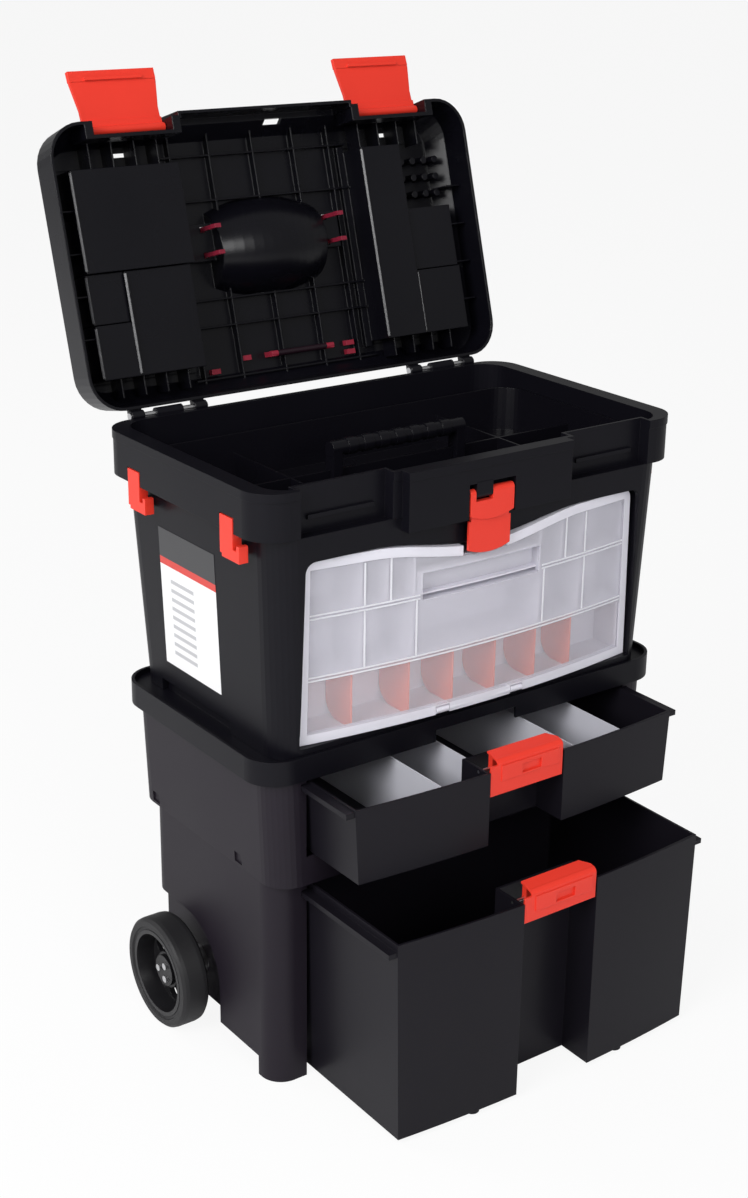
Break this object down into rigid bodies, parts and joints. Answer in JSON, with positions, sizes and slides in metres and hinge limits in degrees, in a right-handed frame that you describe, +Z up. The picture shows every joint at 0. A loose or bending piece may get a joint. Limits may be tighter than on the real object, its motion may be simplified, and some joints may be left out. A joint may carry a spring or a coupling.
{
  "type": "rolling tool chest",
  "caption": "Stacking rolling tool chest: lidded top box with a front organiser and a lift-out tray, two drawers below, wheels at the back and a telescopic pull handle",
  "frame": {"origin": "on the floor, under the middle of the top box's rim", "axes": "+X to the right seen from the front, +Y to the back, +Z up"},
  "size_m": [0.5, 0.5185, 0.8777],
  "materials": {
    "black_plastic": "fine moulded texture",
    "wheel_plastic": "moulded",
    "red_plastic": "satin moulded",
    "cover_plastic": "fine moulded texture",
    "frosted_plastic": "frosted",
    "divider_plastic": "moulded",
    "grey_plastic": "moulded",
    "steel": "drawn",
    "tyre_rubber": "smooth rubber"
  },
  "bodies": {
    "chest": {"lower_shell": "black_plastic", "upper_shell": "black_plastic", "chest_cover": "black_plastic", "wheel_axles": "steel", "wheel_cap_left": "wheel_plastic", "wheel_cap_right": "wheel_plastic", "wheel_screws": "steel", "guide_tubes": "steel", "guide_foot": "black_plastic", "guide_collar": "black_plastic", "bracket_screws": "steel"},
    "left_wheel": {"wheel_left": "wheel_plastic", "tyre_left": "tyre_rubber"},
    "right_wheel": {"wheel_right": "wheel_plastic", "tyre_right": "tyre_rubber"},
    "handle_stage": {"stage_tubes": "steel", "stage_yoke": "black_plastic"},
    "handle_grip": {"grip_tubes": "steel", "pull_grip": "black_plastic"},
    "button": {"grip_button": "red_plastic"},
    "drawer_small": {"small_drawer": "black_plastic", "small_drawer_dividers": "grey_plastic", "small_latch_pins": "steel"},
    "lever_small": {"small_latch": "red_plastic"},
    "drawer_big": {"big_drawer": "black_plastic", "big_latch_pins": "steel"},
    "lever_big": {"big_latch": "red_plastic"},
    "box": {"top_box": "black_plastic", "hinge_pin_left": "steel", "hinge_pin_right": "steel", "side_hook_left_front": "red_plastic", "side_hook_left_back": "red_plastic", "side_hook_right_front": "red_plastic", "side_hook_right_back": "red_plastic", "clasp_pin": "steel"},
    "lid": {"lid_shell": "black_plastic", "latch_pin_left": "steel", "latch_pin_right": "steel", "cover_pins": "steel", "lid_clips": "red_plastic"},
    "latch_left": {"lid_latch_left": "red_plastic"},
    "latch_right": {"lid_latch_right": "red_plastic"},
    "cover_left": {"lid_cover_left": "cover_plastic"},
    "cover_right": {"lid_cover_right": "cover_plastic"},
    "lid_handle": {"carry_handle": "red_plastic"},
    "lift_tray": {"tray": "black_plastic", "tray_handle": "black_plastic"},
    "clasp": {"clasp_lever": "red_plastic", "clasp_tongue": "red_plastic"},
    "organiser": {"organiser_case": "frosted_plastic", "organiser_pins": "steel", "organiser_dividers": "divider_plastic"},
    "organiser_door": {"organiser_cover": "frosted_plastic"}
  },
  "joints": [
    {"name": "box_lift", "type": "slide", "parent": "chest", "child": "box", "axis": [0, 0, -1], "range_m": [-0.05, 0]},
    {"name": "lid_hinge", "type": "hinge", "parent": "box", "child": "lid", "pos_m": [0, 0.139, 0.579], "axis": [1, 0, 0], "range_deg": [0, 106.2]},
    {"name": "latch_left_swing", "type": "hinge", "parent": "lid", "child": "latch_left", "pos_m": [-0.148, 0.22746, 0.82613], "axis": [1, 0, 0], "range_deg": [-8, 97]},
    {"name": "latch_right_swing", "type": "hinge", "parent": "lid", "child": "latch_right", "pos_m": [0.148, 0.22746, 0.82613], "axis": [1, 0, 0], "range_deg": [-8, 97]},
    {"name": "cover_left_swing", "type": "hinge", "parent": "lid", "child": "cover_left", "pos_m": [-0.103, 0.22394, 0.69647], "axis": [0, 0.279, 0.9603], "range_deg": [-95, 0]},
    {"name": "cover_right_swing", "type": "hinge", "parent": "lid", "child": "cover_right", "pos_m": [0.107, 0.22394, 0.69647], "axis": [0, -0.279, -0.9603], "range_deg": [-95, 0]},
    {"name": "carry_handle_lift", "type": "slide", "parent": "lid", "child": "lid_handle", "axis": [0, 0.9603, -0.279], "range_m": [0, 0.022]},
    {"name": "tray_lift", "type": "slide", "parent": "box", "child": "lift_tray", "axis": [0, 0, -1], "range_m": [-0.1, 0]},
    {"name": "clasp_swing", "type": "hinge", "parent": "box", "child": "clasp", "pos_m": [0, -0.14, 0.546], "axis": [1, 0, 0], "range_deg": [-90, 0]},
    {"name": "organiser_pull", "type": "slide", "parent": "box", "child": "organiser", "axis": [0, 1, 0], "range_m": [-0.15, 0]},
    {"name": "organiser_door_swing", "type": "hinge", "parent": "organiser", "child": "organiser_door", "pos_m": [0, -0.134, 0.3452], "axis": [-1, 0, 0], "range_deg": [-90, 0]},
    {"name": "small_drawer_run", "type": "slide", "parent": "chest", "child": "drawer_small", "axis": [0, 1, 0], "range_m": [-0.06, 0.064]},
    {"name": "small_lever_swing", "type": "hinge", "parent": "drawer_small", "child": "lever_small", "pos_m": [0, -0.192, 0.306], "axis": [1, 0, 0], "range_deg": [-20, 0]},
    {"name": "big_drawer_run", "type": "slide", "parent": "chest", "child": "drawer_big", "axis": [0, 1, 0], "range_m": [-0.03, 0.123]},
    {"name": "big_lever_swing", "type": "hinge", "parent": "drawer_big", "child": "lever_big", "pos_m": [0, -0.245, 0.1995], "axis": [1, 0, 0], "range_deg": [-20, 0]},
    {"name": "left_wheel_spin", "type": "hinge", "parent": "chest", "child": "left_wheel", "pos_m": [-0.236, 0.0375, 0.055], "axis": [1, 0, 0], "continuous": true},
    {"name": "right_wheel_spin", "type": "hinge", "parent": "chest", "child": "right_wheel", "pos_m": [0.236, 0.0375, 0.055], "axis": [1, 0, 0], "continuous": true},
    {"name": "handle_stage_rise", "type": "slide", "parent": "chest", "child": "handle_stage", "axis": [0, 0, 1], "range_m": [0, 0.19]},
    {"name": "handle_grip_rise", "type": "slide", "parent": "handle_stage", "child": "handle_grip", "axis": [0, 0, 1], "range_m": [0, 0.19]},
    {"name": "button_press", "type": "slide", "parent": "handle_grip", "child": "button", "axis": [0, 0, 1], "range_m": [-0.003, 0], "stiffness_N_per_m": 300, "springref_m": 0.002}
  ]
}
